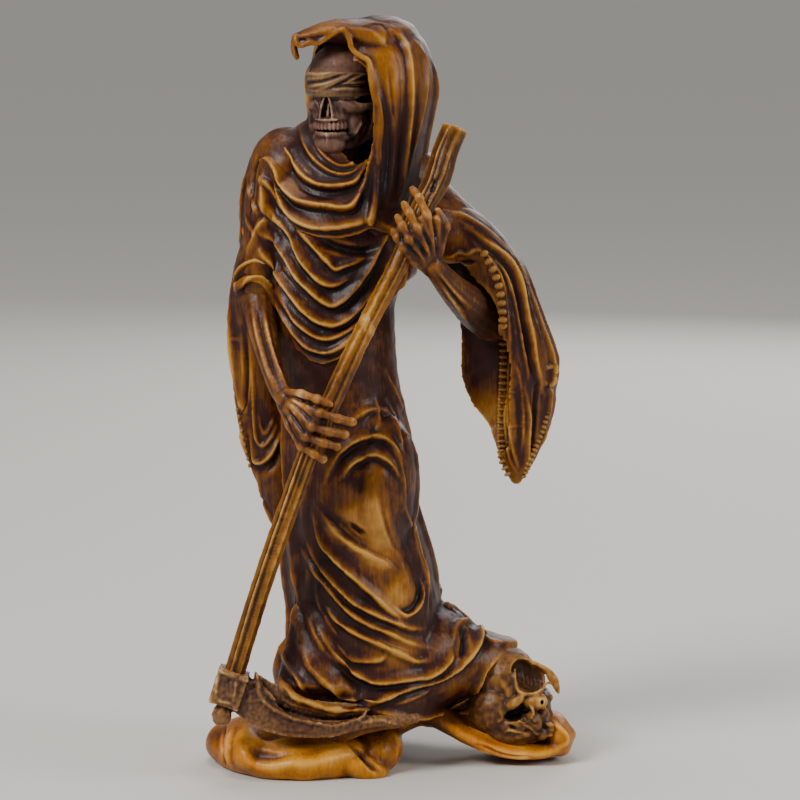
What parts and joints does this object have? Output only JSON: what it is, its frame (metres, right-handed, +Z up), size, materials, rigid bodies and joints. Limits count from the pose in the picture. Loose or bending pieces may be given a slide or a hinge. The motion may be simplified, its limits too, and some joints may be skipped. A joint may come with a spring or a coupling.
{
  "type": "carved grim reaper figurine",
  "caption": "Carved boxwood figurine of a hooded, blindfolded grim reaper leaning on a scythe held head down, with a fallen skull at its foot.",
  "frame": {"origin": "centre of the bounding box at the underside of the foot", "axes": "+Z up along the figure, -Y towards the viewer of the figure's front, +X to that viewer's right"},
  "size_m": [0.1006, 0.0684, 0.2],
  "materials": {
    "stained_boxwood": "dark stain wiped back to amber on the crests, under a glossy varnish"
  },
  "bodies": {
    "root": {"grim_reaper_carving": "stained_boxwood"}
  },
  "joints": []
}
